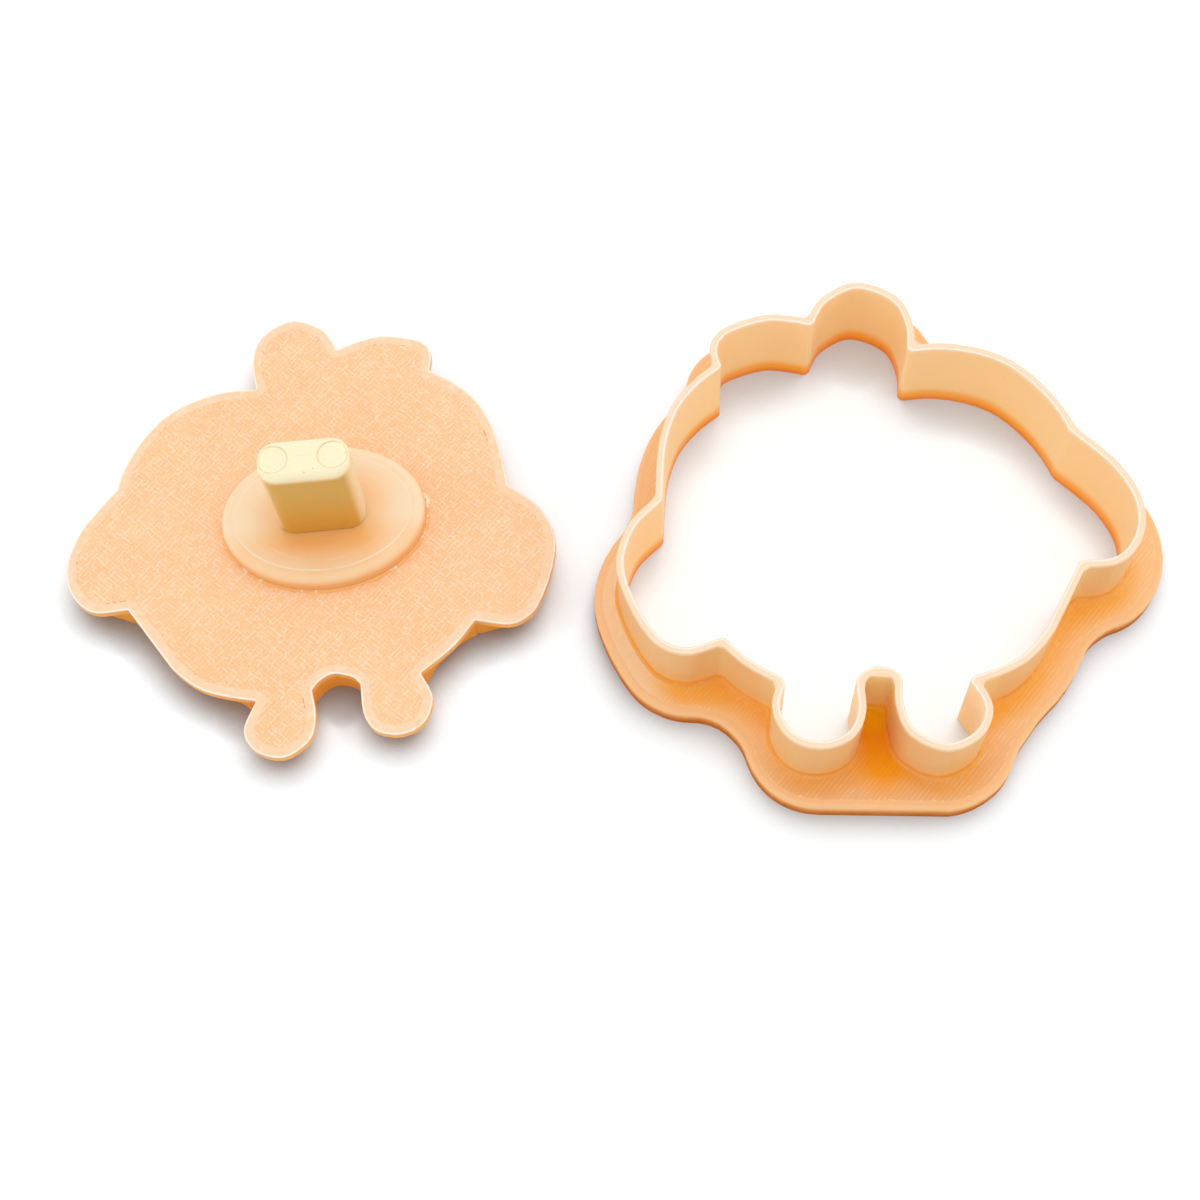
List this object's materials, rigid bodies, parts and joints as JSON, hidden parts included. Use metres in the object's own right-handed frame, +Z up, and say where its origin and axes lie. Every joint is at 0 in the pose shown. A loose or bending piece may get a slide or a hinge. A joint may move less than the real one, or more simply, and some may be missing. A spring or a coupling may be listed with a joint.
{
  "type": "cookie cutter",
  "caption": "Chick-shaped cookie cutter, an open cutting ring with a pressing flange, beside its matching dough stamp with a glued oval handle.",
  "frame": {"origin": "centre of the bounding box in plan, on the table that both pieces lie on", "axes": "+X from the stamp to the cutter, +Z up, +Y away from the viewer of the picture"},
  "size_m": [0.1304, 0.0714, 0.0203],
  "materials": {
    "cutter_plastic": "printed in fine layers, satin, slightly translucent",
    "stamp_plastic": "printed, fine crossed lines on the upper face, satin",
    "glue": "clear dried glue, glossy",
    "base_plastic": "moulded, smooth satin",
    "grip_plastic": "moulded, smooth, slightly glossy"
  },
  "bodies": {
    "cutter": {"cutter_ring": "cutter_plastic"},
    "stamp": {"stamp_plate": "stamp_plastic", "glue_film": "glue", "handle_base": "base_plastic", "handle_grip": "grip_plastic"}
  },
  "joints": [
    {"name": "stamp_lift", "type": "slide", "parent": "cutter", "child": "stamp", "axis": [0, 0, 1], "range_m": [0, 0.03]}
  ]
}
